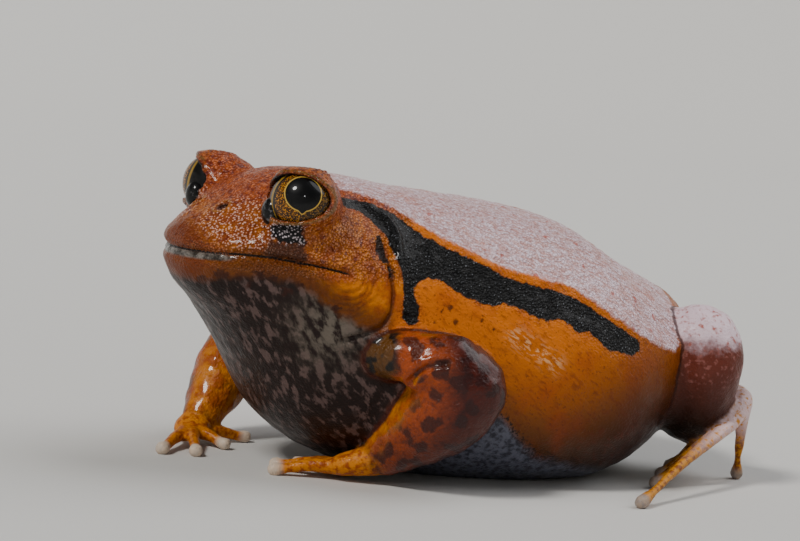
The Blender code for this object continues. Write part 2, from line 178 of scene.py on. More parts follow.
def spread(obj, values, rounds):
    """Evens out rows of values along the surface."""
    ends = np.empty(len(obj.data.edges) * 2, dtype=np.int64)
    obj.data.edges.foreach_get("vertices", ends)
    ends = ends.reshape(-1, 2)
    count = len(obj.data.vertices)
    first, second = np.concatenate([ends, ends[:, ::-1]]).T
    degree = np.bincount(first, minlength=count).astype(float)
    for _ in range(rounds):
        for column in range(values.shape[1]):
            total = np.bincount(first, weights=values[second, column], minlength=count)
            values[:, column] = (values[:, column] + total / degree) / 2
    return values


def region_shares(obj, rounds):
    """How far each vertex belongs to each region, with soft borders."""
    points = points_of(obj)
    shares = np.zeros((len(points), len(REGIONS)))
    for i, point in enumerate(points):
        shares[i, flesh_regions[flesh_tree.find_nearest(Vector(point))[2]]] = 1
    return spread(obj, shares, rounds)


def fade(low, high, value):
    """A smooth rise from nought at low to one at high, which may be the lower number."""
    t = np.clip((value - low) / (high - low), 0, 1)
    return t * t * (3 - 2 * t)


def bump(distance, width):
    """One at nought distance, falling away smoothly over a width."""
    return np.exp(-((distance / width) ** 2))


def place_distance(place, points):
    """How far each point is from one place."""
    return np.linalg.norm(points - place, axis=1)


def path_distance(path, points):
    """How far each point is from a line through places."""
    path = np.asarray(path, float)
    nearest = np.full(len(points), np.inf)
    for a, b in zip(path, path[1:]):
        along = b - a
        t = np.clip(((points - a) @ along) / (along @ along), 0, 1)
        nearest = np.minimum(nearest, np.linalg.norm(points - a - t[:, None] * along, axis=1))
    return nearest


def field(points, size, offset=0.0):
    """Smooth random relief with lumps of a size, between about -1 and 1."""
    return np.array([noise.noise(Vector(p / size) + Vector((offset,) * 3)) for p in points])


# how far along the body each place is, and how high
MOUTH_LINE = (
    (-57.5, 37.1), (-54.3, 37.2), (-50.6, 37.5), (-46.6, 37.4), (-42.0, 36.8), (-39.1, 36.4),
    (-35.7, 35.7), (-33.5, 34.9),
)
MOUTH_CORNER = (20.3, -35.6, 35.7)
NOSTRIL = (4.2, -50.7, 44.4)
NOSTRIL_SHAPE = (1.0, 0.75, 1.0)
# the oval between the lids, half its width and height, and its middle beside the eye's
LID_AXIS = Vector((0.70, -0.70, 0.12)).normalized()
LID_OPENING = (6.6, 4.0)
LID_SHIFT = (-1.0, 0.45)
# rows of beads: how many there would be all round, their turn, and how far out and wide a row is
BROW_BEADS = ((43, 0, 1.38, 0.08), (51, 1.2, 1.58, 0.09))
BEAD_RISE = 0.45
# lines on the left side that folds and edges follow
EAR_FOLD = (
    (14.8, -29.3, 46.0), (16.1, -27.5, 45.2), (17.9, -26.1, 43.8), (19.3, -25.8, 42.0),
    (20.8, -26.3, 39.5), (22.1, -26.5, 36.1), (22.9, -26.3, 32.7), (23.1, -25.6, 30.0),
)
BACK_CREST = (
    (9.3, -31.1, 49.1), (13.2, -28.1, 47.6), (15.5, -24.5, 45.9), (18.6, -20.2, 43.3),
    (21.3, -15.2, 40.5), (24.0, -10.7, 38.2), (25.9, -4.2, 36.4), (26.8, 3.2, 35.2),
    (28.6, 8.5, 32.8), (30.0, 14.3, 29.9), (30.2, 20.6, 26.7), (28.6, 26.5, 24.4),
)
JAW_FOLD = (
    (20.8, -28.0, 36.9), (21.5, -27.9, 35.3), (22.0, -27.5, 32.6), (22.1, -27.7, 29.8),
    (21.6, -29.1, 27.0), (20.8, -32.2, 25.7), (19.9, -34.8, 24.8),
)
ELBOW_FOLD = (
    (27.8, -26.6, 19.0), (28.6, -26.5, 20.0), (29.6, -26.2, 21.1), (30.5, -25.6, 21.9),
    (31.6, -24.1, 22.6), (32.6, -23.1, 22.8),
)
WRINKLED_FLANK = ((28.7, -7.2, 26.8), (30.9, -0.3, 22.6))
SHOULDER = (20.5, -30.5, 22.5)
SHOULDER_REACH = 5.5
# how much each part is evened out, in rounds and as a share of them, but not close to the lids
EVENING_ROUNDS = 110
LAST_ROUNDS = 6
LIMB_EVENING, HEAD_EVENING, SHOULDER_EVENING = 0.35, 0.16, 0.7
EVENING_LEVELS = 10
LIDS_REACH = (1.25, 1.7)
BEHIND_EYE = -4


def body_place(points):
    """Places in body units, with the right side laid over the left."""
    left = (points - drawn_from) / SHARE
    left[:, 0] = np.abs(left[:, 0])
    return left


def eye_place(left):
    """Each place across, above and out of the eye, in body units."""
    level = Vector((0, 0, 1)).cross(LID_AXIS).normalized()
    upward = LID_AXIS.cross(level)
    from_eye = left - np.array(EYE_CENTRE)
    across = from_eye @ np.array(level) - LID_SHIFT[0]
    upright = from_eye @ np.array(upward) - LID_SHIFT[1]
    return across, upright, from_eye @ np.array(LID_AXIS)


def lid_ring(across, upright):
    """How far out each place is from the middle of the lids' oval, whose edge is at one."""
    return np.hypot(across / LID_OPENING[0], upright / LID_OPENING[1])


def above_mouth(left):
    """How far each place is above the mouth's line."""
    return left[:, 2] - np.interp(left[:, 1], *zip(*MOUTH_LINE))


def nostril_distance(left):
    """How far each place is from the nostril, which is longer than high."""
    return np.linalg.norm((left - NOSTRIL) * NOSTRIL_SHAPE, axis=1)


apply_modifier("REMESH", mode="VOXEL", voxel_size=SKIN_GRID)
head, torso, arm, _, leg, _ = region_shares(skin, rounds=12).T
left = body_place(points_of(skin))
across, upright, out = eye_place(left)
off_lids = np.maximum(fade(*LIDS_REACH, lid_ring(across, upright)), out < BEHIND_EYE)
evening = torso + LIMB_EVENING * arm + LIMB_EVENING * leg
evening += HEAD_EVENING * head * off_lids
evening += SHOULDER_EVENING * bump(place_distance(SHOULDER, left), SHOULDER_REACH)
levels = np.round(np.clip(evening, 0, 1) * EVENING_LEVELS).astype(int)
group = skin.vertex_groups.new(name="evening")
for level in range(1, EVENING_LEVELS + 1):
    at_level = [int(i) for i in np.nonzero(levels == level)[0]]
    group.add(at_level, level / EVENING_LEVELS, "REPLACE")
apply_modifier("SMOOTH", factor=0.5, iterations=EVENING_ROUNDS, vertex_group="evening")
apply_modifier("SMOOTH", factor=0.5, iterations=LAST_ROUNDS)


def ridge(distance, height, width, at=0.0):
    """A ridge beside a line, or a groove where its height is below nought."""
    return height * bump(distance - at, width)


def skin_relief(obj):
    """How far the skin stands out for its folds, lids, lips, pits and grains, in body units."""
    left = body_place(points_of(obj))
    head, torso, arm, _, leg, _ = region_shares(obj, rounds=8).T
    along_body, height = left[:, 1], left[:, 2]

    # the upper lip, the groove of the mouth and the drawn-in lower lip in front
    above = above_mouth(left)
    mouth = (1 - fade(-36.5, -33.5, along_body)) * head
    rise = mouth * (
        ridge(above, height=0.16, width=0.7, at=1.0) + ridge(above, height=-0.35, width=0.3)
    )
    in_front = mouth * fade(-47, -53, along_body)
    rise += in_front * ridge(above, height=-0.4, width=0.8, at=-1.0)

    # the rim and the pit of the nostril
    away = nostril_distance(left)
    rise += ridge(away, height=0.3, width=0.45, at=1.15) + ridge(away, height=-1.1, width=0.6)

    # the rim of the lids, the fold above it, the groove below it and the beads of the brow
    across, upright, out = eye_place(left)
    ring = lid_ring(across, upright)
    facing = fade(0, 2, out)
    upper = fade(-1, 2, upright)
    rise += facing * ridge(ring, height=0.1 + 0.12 * upper, width=0.09, at=1.1)
    rise += facing * upper * ridge(ring, height=0.25, width=0.13, at=1.3)
    rise += facing * (1 - upper) * ridge(ring, height=-0.3, width=0.14, at=1.4)
    turn = np.arctan2(upright, across)
    for count, start, row_at, width in BROW_BEADS:
        beads = np.clip(np.cos(turn * count + start), 0, 1) ** 2
        row = ridge(ring, height=BEAD_RISE, width=width, at=row_at)
        rise += fade(BEHIND_EYE, 1, out) * upper * beads * row

    # the waves round the mouth's corner and the fold down the jaw
    from_corner = place_distance(MOUTH_CORNER, left)
    jaw = bump(from_corner - 3.8, 3.0) * (1 - fade(34.8, 36.2, height)) * head
    rise += 0.2 * jaw * np.sin(from_corner * 5.8 + 3.2 * field(left, 2.2))
    fold = path_distance(JAW_FOLD, left)
    rise += head * (
        ridge(fold, height=0.3, width=0.8, at=1.2) + ridge(fold, height=-0.6, width=0.45)
    )

    # the edge of the back, the fold behind the ear drum and the crease of the elbow
    crest = ridge(path_distance(BACK_CREST, left), height=0.3, width=0.9)
    ear_fold = ridge(path_distance(EAR_FOLD, left), height=0.5, width=0.6)
    rise += (head + torso) * (crest + ear_fold)
    elbow = path_distance(ELBOW_FOLD, left)
    rise += arm * (
        ridge(elbow, height=0.3, width=0.5, at=1.1) + ridge(elbow, height=-0.7, width=0.5)
    )

    # the wrinkles of the flank, which slope down towards the rear
    flank = ridge(path_distance(WRINKLED_FLANK, left), height=0.1, width=1.6)
    wavy = 1.8 * field(left, 2.0)
    rise += flank * np.sin((height * 0.85 + along_body * 0.52) * 6.5 + wavy)

    # soft lumps all over, and finer ones that are strongest on the back and the crown
    soft = field(left, 2.6, offset=7.0)
    fine = field(left, 1.15, offset=3.0)
    rise += (0.16 * torso + 0.1 * head + 0.22 * arm + 0.2 * leg) * soft
    upper_side = 0.11 * torso * fade(22, 34, height) + 0.08 * head * fade(34, 38, height)
    rise += (upper_side + 0.05) * fine
    return rise


rise = skin_relief(skin)
place_points(skin, points_of(skin) + normals_of(skin) * (rise * SHARE)[:, None])
faces = sum(len(face.vertices) - 2 for face in skin.data.polygons)
apply_modifier("DECIMATE", ratio=min(1, SKIN_FACES / faces))
points = points_of(skin)
too_high = np.maximum(points[:, 2] - cad_box[1][2] + BROW_ROUNDING, 0)
points[:, 2] -= too_high - BROW_ROUNDING * (1 - np.exp(-too_high / BROW_ROUNDING))
place_points(skin, np.clip(points, *np.array(cad_box)))

# whatever isn't joined to the skin's highest place is a stray that the thinning has left
bpy.ops.object.mode_set(mode="EDIT")
bpy.ops.mesh.select_all(action="DESELECT")
bpy.ops.object.mode_set(mode="OBJECT")
skin.data.vertices[int(np.argmax(points[:, 2]))].select = True
bpy.ops.object.mode_set(mode="EDIT")
bpy.ops.mesh.select_linked()
bpy.ops.mesh.select_all(action="INVERT")
bpy.ops.mesh.delete(type="VERT")
bpy.ops.object.mode_set(mode="OBJECT")
skin.data.shade_smooth()

# Skin, markings
# A black band runs from the eye along the flank under an orange edge, with a branch down behind
# the ear drum. The back is dusty pink, the throat mottled, and the belly blue-grey. They are
# grown into the real skin. Here each is a field over the surface that the colours read.

# outlines drawn round the body: how far along it, and the degrees up from its middle height
BAND = (
    (-36.6, 62.4), (-34.4, 63.9), (-31.9, 63.9), (-29.9, 62.4), (-27.6, 59.8), (-25, 57.3),
    (-23, 53.0), (-20.7, 48.3), (-18.1, 44.7), (-16, 42.3), (-13.4, 39.2), (-10.9, 36),
    (-8.3, 32.9), (-5.3, 30.8), (-2, 28.9), (1.5, 27.5), (4.1, 25.5), (7, 22.6), (10, 18.9),
    (12.2, 16.8), (15, 13.6), (17, 11.9), (16.8, 8.8), (15, 7.1), (12.7, 8.2), (10.2, 8.6),
    (8.5, 11), (6.3, 14.4), (3.9, 13.9), (2.8, 16.6), (0.7, 18.4), (-1.6, 17.6), (-3.6, 19.4),
    (-6.8, 22.6), (-9.2, 24), (-10.9, 23.2), (-12.5, 24), (-15.5, 26.7), (-17.4, 29.8),
    (-19.3, 32.7), (-21.4, 34.3), (-23.1, 33), (-24.2, 30.9), (-23.9, 28), (-23.3, 23.6),
    (-23.2, 19.5), (-24.9, 18), (-26.2, 20.9), (-26.4, 26.3), (-26.5, 30.3), (-26.7, 35),
    (-27.1, 39.6), (-27.4, 44.1), (-27.9, 49.1), (-29, 52.1), (-30.1, 55.7), (-31.9, 58.5),
    (-36.4, 60.2),
)
BACK_EDGE = (
    (-60, 80), (-31.8, 67.5), (-28.2, 63.4), (-24.4, 58.6), (-22.4, 54.9), (-20.2, 50.5),
    (-17.8, 46.9), (-15.4, 44.2), (-12.9, 41.7), (-10.7, 38.5), (-7.6, 35.2), (-4.4, 33.2),
    (-0.9, 31.4), (2.7, 29.9), (5.2, 27.4), (8.1, 23.6), (11.1, 20.1), (13.7, 17.2), (16.6, 14.2),
    (19.9, 11.4), (23.2, 9.7), (27, 8.5), (29.4, 12), (32, 20), (60, 20),
)
MIDDLE_HEIGHT = 20
UNITS_A_DEGREE = 0.45
# the back's colour starts at the nape and ends over the rump, in a line bent forward at its ends
NAPE = -33
RUMP_END, RUMP_BEND = 37.5, 0.012
# the rest is drawn on the side of the body: how far along it, and how high
UNDER_EDGE = (
    (-58, 32.3), (-54.6, 32.7), (-52.5, 33.7), (-49.6, 34.7), (-46.0, 34.6), (-42.7, 33.7),
    (-39.9, 32.0), (-38.4, 30.4), (-36.1, 29.1), (-33.4, 28.0), (-31.8, 26.8), (-29.4, 26.4),
    (-27, 26.0), (-22, 19.0), (-15, 15.5), (-8.5, 13.7), (-6.0, 11.4), (-2.4, 8.0),
    (2.1, 5.8), (8.9, 4.3), (14.7, 3.3), (20, 2.5), (45, 1.5),
)
EYE_PATCH = (
    (-47.2, 43.2), (-46.3, 43.4), (-44.4, 43.6), (-43.3, 42.0), (-42.7, 40.1), (-43.9, 40.0),
    (-45.5, 39.9), (-46.9, 40.2), (-47.6, 41.2),
)
LIP_PATCH = (
    (-47.6, 40.4), (-45.7, 40.0), (-42.8, 40.0), (-42.4, 38.7), (-41.9, 37.1), (-44.2, 37.2),
    (-46.7, 37.4), (-48.6, 37.8),
)
DRUM_PATCH = (
    (-29.8, 41.9), (-29.1, 42.0), (-28.6, 40.7), (-28.3, 39.3), (-28.1, 37.6), (-29.0, 37.5),
    (-29.7, 38.6), (-30.0, 39.9),
)
DRUM_SMUDGE = ((-28.4, 37.4), (-27.7, 36.9), (-27.8, 35.3), (-28.6, 35.4))
# the patch of the snout and cheek whose grains carry painted highlights
SNOUT_GLINTS = (
    (-53.8, 42.4), (-51.7, 44.0), (-48.6, 45.6), (-46.5, 46.0), (-47.2, 43.5), (-46.2, 41.0),
    (-45.4, 38.4), (-51.5, 38.5), (-54.3, 39.8), (-54.8, 41.5),
)
FLANK_SPOTS = (
    (-19.0, 31.4), (-18.1, 30.9), (-19.8, 30.2), (-13.2, 29.2), (-14.5, 27.9), (-12.0, 28.5),
    (-17.3, 28.7), (-14.8, 29.5), (-20.7, 28.5), (-11.0, 27.6),
)
JAW_SPOTS = (
    (-54.6, 32.6), (-53.1, 34.0), (-51.0, 33.6), (-48.8, 34.4), (-46.7, 34.2), (-42.8, 33.4),
    (-44.6, 32.2), (-49.6, 32.6), (-37.0, 30.0),
)
FLANK_SPOT, JAW_SPOT = 0.45, 0.75
PALE_CHEST, CHEST_REACH = (18.6, -37.4, 26.6), 5.5
# the ends of the fingers and of the left toes, seen from above
HAND_TIPS = (
    (5.9, -27.2), (2.2, -31.2), (3.2, -36.2), (7.2, -38.7), (-21.8, -28.5), (-15.5, -36.0),
    (-10.0, -44.5), (-12.8, -49.5),
)
TOE_TIPS = ((13.5, 40.5), (20.5, 33.0), (28.0, 26.0), (42.8, 11.6), (22.2, 49.2))
TIP_HEIGHT, TIP_REACH = 1, 2.1
WRIST_ROUNDS = 90
FAR_OUTSIDE = -9
# how far from the middle of the body the patches of the head and the small spots begin
PATCHES_FROM, SPOTS_FROM = 8, 5


def inside(outline, across, upright):
    """How far each place lies inside an outline, and below nought outside it."""
    corners = np.asarray(outline, float)
    nearest = np.full(len(across), np.inf)
    crossed = np.zeros(len(across), dtype=bool)
    for (x0, y0), (x1, y1) in zip(corners, np.roll(corners, -1, axis=0)):
        dx, dy = x1 - x0, y1 - y0
        t = ((across - x0) * dx + (upright - y0) * dy) / (dx * dx + dy * dy)
        t = np.clip(t, 0, 1)
        reach = np.hypot(across - x0 - t * dx, upright - y0 - t * dy)
        nearest = np.minimum(nearest, reach)
        if dy:
            between = (upright < y0) != (upright < y1)
            crossed ^= between & (across < x0 + (upright - y0) * dx / dy)
    return np.where(crossed, nearest, -nearest)


def mark(obj, name, values):
    """Lays a field of values over a piece for its colours to read."""
    layer = obj.data.attributes.new(name, "FLOAT", "POINT")
    layer.data.foreach_set("value", np.ascontiguousarray(values, dtype=np.float32))


left = body_place(points_of(skin))
across_body, along_body, height = left.T
shares = region_shares(skin, rounds=6)
head, torso, arm, hand, leg, foot = shares.T
for number, region in enumerate(REGIONS):
    mark(skin, region, shares[:, number])
mark(skin, "length", along_body)
mark(skin, "height", height)

round_body = np.degrees(np.arctan2(height - MIDDLE_HEIGHT, across_body))
scaled_band = [(y, angle * UNITS_A_DEGREE) for y, angle in BAND]
band = inside(scaled_band, along_body, round_body * UNITS_A_DEGREE)
mark(skin, "band", np.where(head + torso > 0.5, band, FAR_OUTSIDE))
back = (round_body - np.interp(along_body, *zip(*BACK_EDGE))) * UNITS_A_DEGREE
rump = (RUMP_END - RUMP_BEND * across_body**2 - along_body) * 0.8
nape = (along_body - NAPE) * 0.6
mark(skin, "back", np.minimum(np.minimum(back, rump), nape))
mark(skin, "under", np.interp(along_body, *zip(*UNDER_EDGE)) - height)


def patch(outline):
    """How far each place lies inside an outline drawn on the side of the head."""
    return np.where(across_body > PATCHES_FROM, inside(outline, along_body, height), FAR_OUTSIDE)


mark(skin, "eye_patch", patch(EYE_PATCH))
mark(skin, "lip_patch", patch(LIP_PATCH))
mark(skin, "drum_patch", np.maximum(patch(DRUM_PATCH), patch(DRUM_SMUDGE)))
# painted highlights go on the grains in this patch
frost = fade(-1.4, 0.8, inside(SNOUT_GLINTS, along_body, height))
mark(skin, "frost", frost * fade(0.5, 3.5, across_body))


def spots(places, size):
    """Small round spots at places on the side of the body."""
    strength = np.zeros(len(left))
    for number, (y, z) in enumerate(places):
        reach = size * (1 + 0.3 * math.sin(number * 2.4))
        strength = np.maximum(strength, bump(np.hypot(along_body - y, height - z), reach))
    return strength * (across_body > SPOTS_FROM)


mark(skin, "spots", np.maximum(spots(FLANK_SPOTS, FLANK_SPOT), spots(JAW_SPOTS, JAW_SPOT)))

tip_places = [*HAND_TIPS, *((x * side, y) for x, y in TOE_TIPS for side in (1, -1))]
places = (points_of(skin) - drawn_from) / SHARE
to_tip = np.full(len(left), np.inf)
for x, y in tip_places:
    to_tip = np.minimum(to_tip, place_distance((x, y, TIP_HEIGHT), places))
mark(skin, "tip", (hand + foot) * bump(to_tip, TIP_REACH))

# the grained skin is that of the crown, the cheeks and the back, with the band
grained = head * fade(33, 37, height) + torso * fade(-2, 2, np.maximum(back, band))
mark(skin, "grained", np.clip(grained, 0, 1))

above = above_mouth(left)
on_mouth = head * (1 - fade(-36, -33.5, along_body))
mark(skin, "mouth", on_mouth * bump(above, 0.3))
front = fade(-49.5, -54.0, along_body)
mark(skin, "front_lip", on_mouth * front * bump(above + 0.65, 0.7))
mark(skin, "nostril", bump(nostril_distance(left), 0.9))
mark(skin, "nostril_rim", bump(nostril_distance(left) - 1.35, 0.3))

across, upright, out = eye_place(left)
ring = lid_ring(across, upright)
facing = fade(0, 2, out) * head
mark(skin, "lid_edge", facing * bump(ring - 1.08, 0.07))
mark(skin, "lid_inside", facing * (1 - fade(0.93, 1.02, ring)))
mark(skin, "brow", facing * bump(ring - 1.45, 0.4) * fade(-1, 2, upright))

mark(skin, "pale_chest", bump(place_distance(PALE_CHEST, left), CHEST_REACH))
mark(skin, "wrinkled", bump(path_distance(WRINKLED_FLANK, left), 1.5))
# painted shade along the fold behind the jaw, for the colours below
mark(skin, "jaw_fold", head * bump(path_distance(JAW_FOLD, left), 0.6))
# painted shade goes in the elbow's crease and where the limbs leave the body
elbow = arm * bump(path_distance(ELBOW_FOLD, left), 0.6)
limb_root_shade = 4 * (arm + leg) * (head + torso)
mark(skin, "crease", np.clip(np.maximum(limb_root_shade, elbow), 0, 1))
mark(skin, "wrist", spread(skin, hand[:, None].copy(), WRIST_ROUNDS)[:, 0])
facing_in = normals_of(skin)[:, 0] * np.sign(places[:, 0])
mark(skin, "inner", fade(0.35, -0.25, facing_in))
mark(skin, "shoulder", arm * fade(8.5, 4.5, place_distance(SHOULDER, left)))

# Skin, finish
# Wet skin with grains of about half a millimetre that catch the light one by one. The colours
# are layers over each other, from the orange ground up to the black marks, the mouth and the lids.


def add_node(tree, kind, plugged=None, **settings):
    """One shader node with its settings, and values or wires in its sockets."""
    new = tree.nodes.new("ShaderNode" + kind)
    for key, value in settings.items():
        setattr(new, key, value)
    for key, value in (plugged or {}).items():
        if isinstance(value, bpy.types.NodeSocket):
            tree.links.new(value, new.inputs[key])
        else:
            new.inputs[key].default_value = value
    return new


def colour(red, green, blue):
    """A colour by its everyday values from 0 to 255."""
    linear = []
    for value in (red, green, blue):
        bright = ((value / 255 + 0.055) / 1.055) ** 2.4
        linear.append(bright if value > 10 else value / 3294)
    return (*linear, 1)


def field_of(tree, name):
    """The wire that carries a field laid over the piece."""
    return add_node(tree, "Attribute", attribute_name=name).outputs["Fac"]


def speckle(tree, width, detail=3.0, long=1, slope=0):
    """The wire of random relief whose lumps are so many metres wide, or long ones that slope."""
    place = add_node(tree, "TexCoord").outputs["Object"]
    if long != 1:
        turned = (-math.radians(slope), 0, 0)
        drawn_out = {"Vector": place, "Rotation": turned, "Scale": (1, long, 1)}
        place = add_node(tree, "Mapping", drawn_out, vector_type="TEXTURE").outputs[0]
    plugged = {"Vector": place, "Scale": 1 / width, "Detail": detail, "Roughness": 0.55}
    return add_node(tree, "TexNoise", plugged).outputs[0]


def grains(tree, width):
    """The wire of rounded grains that are so many metres wide."""
    place = add_node(tree, "TexCoord").outputs["Object"]
    plugged = {"Vector": place, "Scale": 1 / width}
    return add_node(tree, "TexVoronoi", plugged).outputs["Distance"]


def sums(tree, what, first, second):
    """The wire of a sum of one or two values."""
    return add_node(tree, "Math", {0: first, 1: second}, operation=what).outputs[0]


def times(tree, first, second):
    """The wire of one value times another."""
    return sums(tree, "MULTIPLY", first, second)


def plus(tree, first, second):
    """The wire of one value added to another."""
    return sums(tree, "ADD", first, second)


def minus(tree, first, second):
    """The wire of one value less another."""
    return sums(tree, "SUBTRACT", first, second)


def ramp(tree, value, low, high, start=0.0, end=1.0):
    """The wire of a smooth rise from start at low to end at high."""
    plugged = {"Value": value, "From Min": low, "From Max": high, "To Min": start, "To Max": end}
    return add_node(tree, "MapRange", plugged, interpolation_type="SMOOTHSTEP").outputs[0]


def laid_over(tree, share, under, over):
    """The wire of one colour laid over another by a share."""
    mix = tree.nodes.new("ShaderNodeMix")
    mix.data_type = "RGBA"
    for socket, value in ((mix.inputs[0], share), (mix.inputs[6], under), (mix.inputs[7], over)):
        if isinstance(value, bpy.types.NodeSocket):
            tree.links.new(value, socket)
        else:
            socket.default_value = value
    return mix.outputs[2]


def new_finish(name):
    """An empty material with its shader."""
    material = bpy.data.materials.new(name)
    material.use_nodes = True
    tree = material.node_tree
    return material, tree, tree.nodes["Principled BSDF"]


# in metres
GRAIN_WIDTH = 0.00041
GRAIN_DEPTH = 0.00034

wet_skin, tree, shader = new_finish("wet_skin")

# patterns of several sizes, and two that make the edges of the colours uneven
wander = speckle(tree, 0.0021)
small = speckle(tree, 0.0009)
tiny = speckle(tree, 0.00042, detail=2.0)
wide = speckle(tree, 0.009)
grain = grains(tree, GRAIN_WIDTH)
blotch = speckle(tree, 0.0021, detail=1.0)
arm_blotch = grains(tree, 0.0029)
streak = speckle(tree, 0.0011, long=2.2, slope=55)
lines = speckle(tree, 0.0004, detail=2.0, long=7, slope=31)
wrinkles = speckle(tree, 0.0006, long=3, slope=40)
soft_edge = times(tree, minus(tree, wander, 0.5), 2.4)
ragged = times(tree, minus(tree, small, 0.5), 1.3)
height = field_of(tree, "height")
length = field_of(tree, "length")

# the orange ground of the flanks, with painted shade darkening it low down and to a dark red-brown
# low towards the rear
ground = laid_over(tree, ramp(tree, height, 4, 30), colour(60, 32, 0), colour(206, 108, 0))
ground = laid_over(tree, ramp(tree, wide, 0.48, 0.7, 0, 0.45), ground, colour(150, 54, 0))
# painted shade: dark red-brown low on the rear of the body
rear_shade = times(tree, ramp(tree, length, -4, 22), ramp(tree, height, 30, 8, 0.35, 0.97))
ground = laid_over(tree, rear_shade, ground, colour(34, 7, 0))
ground = laid_over(tree, ramp(tree, wrinkles, 0.52, 0.68, 0, 0.4), ground, colour(96, 30, 0))
ground = laid_over(tree, ramp(tree, tiny, 0.6, 0.7, 0, 0.5), ground, colour(64, 20, 2))
# painted highlights: pale lines along the wrinkles of the flank
wrinkle_highlight = times(tree, field_of(tree, "wrinkled"), ramp(tree, lines, 0.48, 0.58))
ground = laid_over(tree, times(tree, wrinkle_highlight, 0.75), ground, colour(232, 180, 128))

# the face, golden behind the eye and redder on the snout and the crown
face = laid_over(tree, ramp(tree, wander, 0.35, 0.65), colour(204, 116, 0), colour(160, 76, 0))
reddish = laid_over(tree, ramp(tree, wander, 0.3, 0.6), colour(208, 120, 0), colour(162, 78, 0))
face = laid_over(tree, ramp(tree, length, -40, -47), face, reddish)
crown = laid_over(tree, ramp(tree, small, 0.35, 0.65), colour(198, 96, 24), colour(140, 52, 10))
face = laid_over(tree, ramp(tree, height, 43.5, 47), face, crown)
reds = ramp(tree, small, 0.56, 0.66, 0, 0.8)
reds = times(tree, reds, field_of(tree, "grained"))
face = laid_over(tree, reds, face, colour(96, 12, 4))
between = times(tree, ramp(tree, grain, 0.34, 0.6, 0, 0.55), field_of(tree, "grained"))
face = laid_over(tree, between, face, colour(100, 32, 4))
# painted highlights: whitish tops of the grains on the snout and the cheek
painted_glints = times(tree, ramp(tree, grain, 0.46, 0.24), ramp(tree, tiny, 0.26, 0.42))
glint_share = times(tree, painted_glints, ramp(tree, field_of(tree, "frost"), 0, 1, 0.2, 0.9))
glint_share = times(tree, glint_share, field_of(tree, "grained"))
face = laid_over(tree, glint_share, face, colour(232, 186, 172))
# painted shade: the face darkens towards the lower edge of the jaw and over the front of the snout
jaw = ramp(tree, field_of(tree, "under"), -6, -1, 0, 0.9)
face = laid_over(tree, jaw, face, colour(88, 42, 0))
chin_shade = ramp(tree, length, -53, -56, 0, 0.7)
face = laid_over(tree, chin_shade, face, colour(106, 42, 0))
# painted shade: dark brown in the fold behind the jaw
jaw_fold = ramp(tree, field_of(tree, "jaw_fold"), 0.3, 0.9, 0, 0.75)
face = laid_over(tree, jaw_fold, face, colour(76, 26, 4))
base = laid_over(tree, field_of(tree, "head"), ground, face)

# the dusty pink back, lightened and streaked whitish by a painted wet sheen, darker between its
# grains, with painted highlights on the grain tops
back = plus(tree, field_of(tree, "back"), ragged)
sheen_streaks = ramp(tree, wrinkles, 0.4, 0.6)
pink_with_sheen = laid_over(tree, sheen_streaks, colour(212, 166, 162), colour(242, 222, 234))
pink_with_sheen = laid_over(tree, ramp(tree, grain, 0.42, 0.62, 0, 0.5), pink_with_sheen, colour(164, 108, 104))
# painted highlights: whitish tops of the grains
pink_with_sheen = laid_over(tree, ramp(tree, grain, 0.3, 0.14, 0, 0.45), pink_with_sheen, colour(244, 228, 234))
pink_with_sheen = laid_over(tree, ramp(tree, wide, 0.56, 0.74, 0, 0.4), pink_with_sheen, colour(206, 124, 88))
pink_with_sheen = laid_over(tree, ramp(tree, blotch, 0.69, 0.76, 0, 0.7), pink_with_sheen, colour(178, 62, 22))
base = laid_over(tree, ramp(tree, back, -0.3, 0.4), base, pink_with_sheen)

# the mottled throat, the pale chest and the blue-grey belly
under = plus(tree, field_of(tree, "under"), soft_edge)
mottled = laid_over(tree, ramp(tree, streak, 0.5, 0.62), colour(30, 14, 10), colour(92, 72, 68))
mottled = laid_over(tree, ramp(tree, wander, 0.52, 0.66, 0, 0.7), mottled, colour(28, 14, 10))
chest = times(tree, field_of(tree, "pale_chest"), ramp(tree, streak, 0.38, 0.56))
mottled = laid_over(tree, chest, mottled, colour(106, 97, 86))
slate = laid_over(tree, ramp(tree, small, 0.4, 0.65), colour(92, 94, 108), colour(50, 50, 60))
belly = laid_over(tree, ramp(tree, length, -20, -12), mottled, slate)
base = laid_over(tree, ramp(tree, under, -0.8, 1.4), base, belly)
border = times(tree, ramp(tree, under, -1.6, -0.2), ramp(tree, under, 1.6, 0.2))
border = times(tree, border, ramp(tree, tiny, 0.5, 0.62))
border = times(tree, border, ramp(tree, length, -14, -8))
base = laid_over(tree, border, base, colour(22, 16, 14))

# red-brown arms with soft dark blotches, orange on the inner side
arm_red = laid_over(tree, ramp(tree, length, -26, -20), colour(156, 62, 0), colour(70, 14, 0))
# painted shade: the arm darker low down
arm_red = laid_over(tree, ramp(tree, height, 18, 5, 0, 0.6), arm_red, colour(80, 26, 0))
arm_red = laid_over(tree, ramp(tree, small, 0.46, 0.64, 0, 0.35), arm_red, colour(58, 10, 0))
uneven = times(tree, minus(tree, wander, 0.5), 1.5)
spotted = ramp(tree, plus(tree, arm_blotch, uneven), 0.58, 0.32, 0, 0.8)
arm_red = laid_over(tree, spotted, arm_red, colour(36, 3, 2))
streaky = ramp(tree, wander, 0.4, 0.64)
arm_orange = laid_over(tree, streaky, colour(192, 114, 6), colour(156, 74, 0))
inner_share = times(tree, field_of(tree, "inner"), ramp(tree, length, -21, -25))
arm_red = laid_over(tree, inner_share, arm_red, arm_orange)
olive = laid_over(tree, ramp(tree, blotch, 0.5, 0.6), colour(86, 52, 8), colour(16, 10, 6))
shoulder = plus(tree, field_of(tree, "shoulder"), times(tree, soft_edge, 0.4))
arm_red = laid_over(tree, ramp(tree, shoulder, 0.1, 0.9), arm_red, olive)
base = laid_over(tree, field_of(tree, "arm"), base, arm_red)
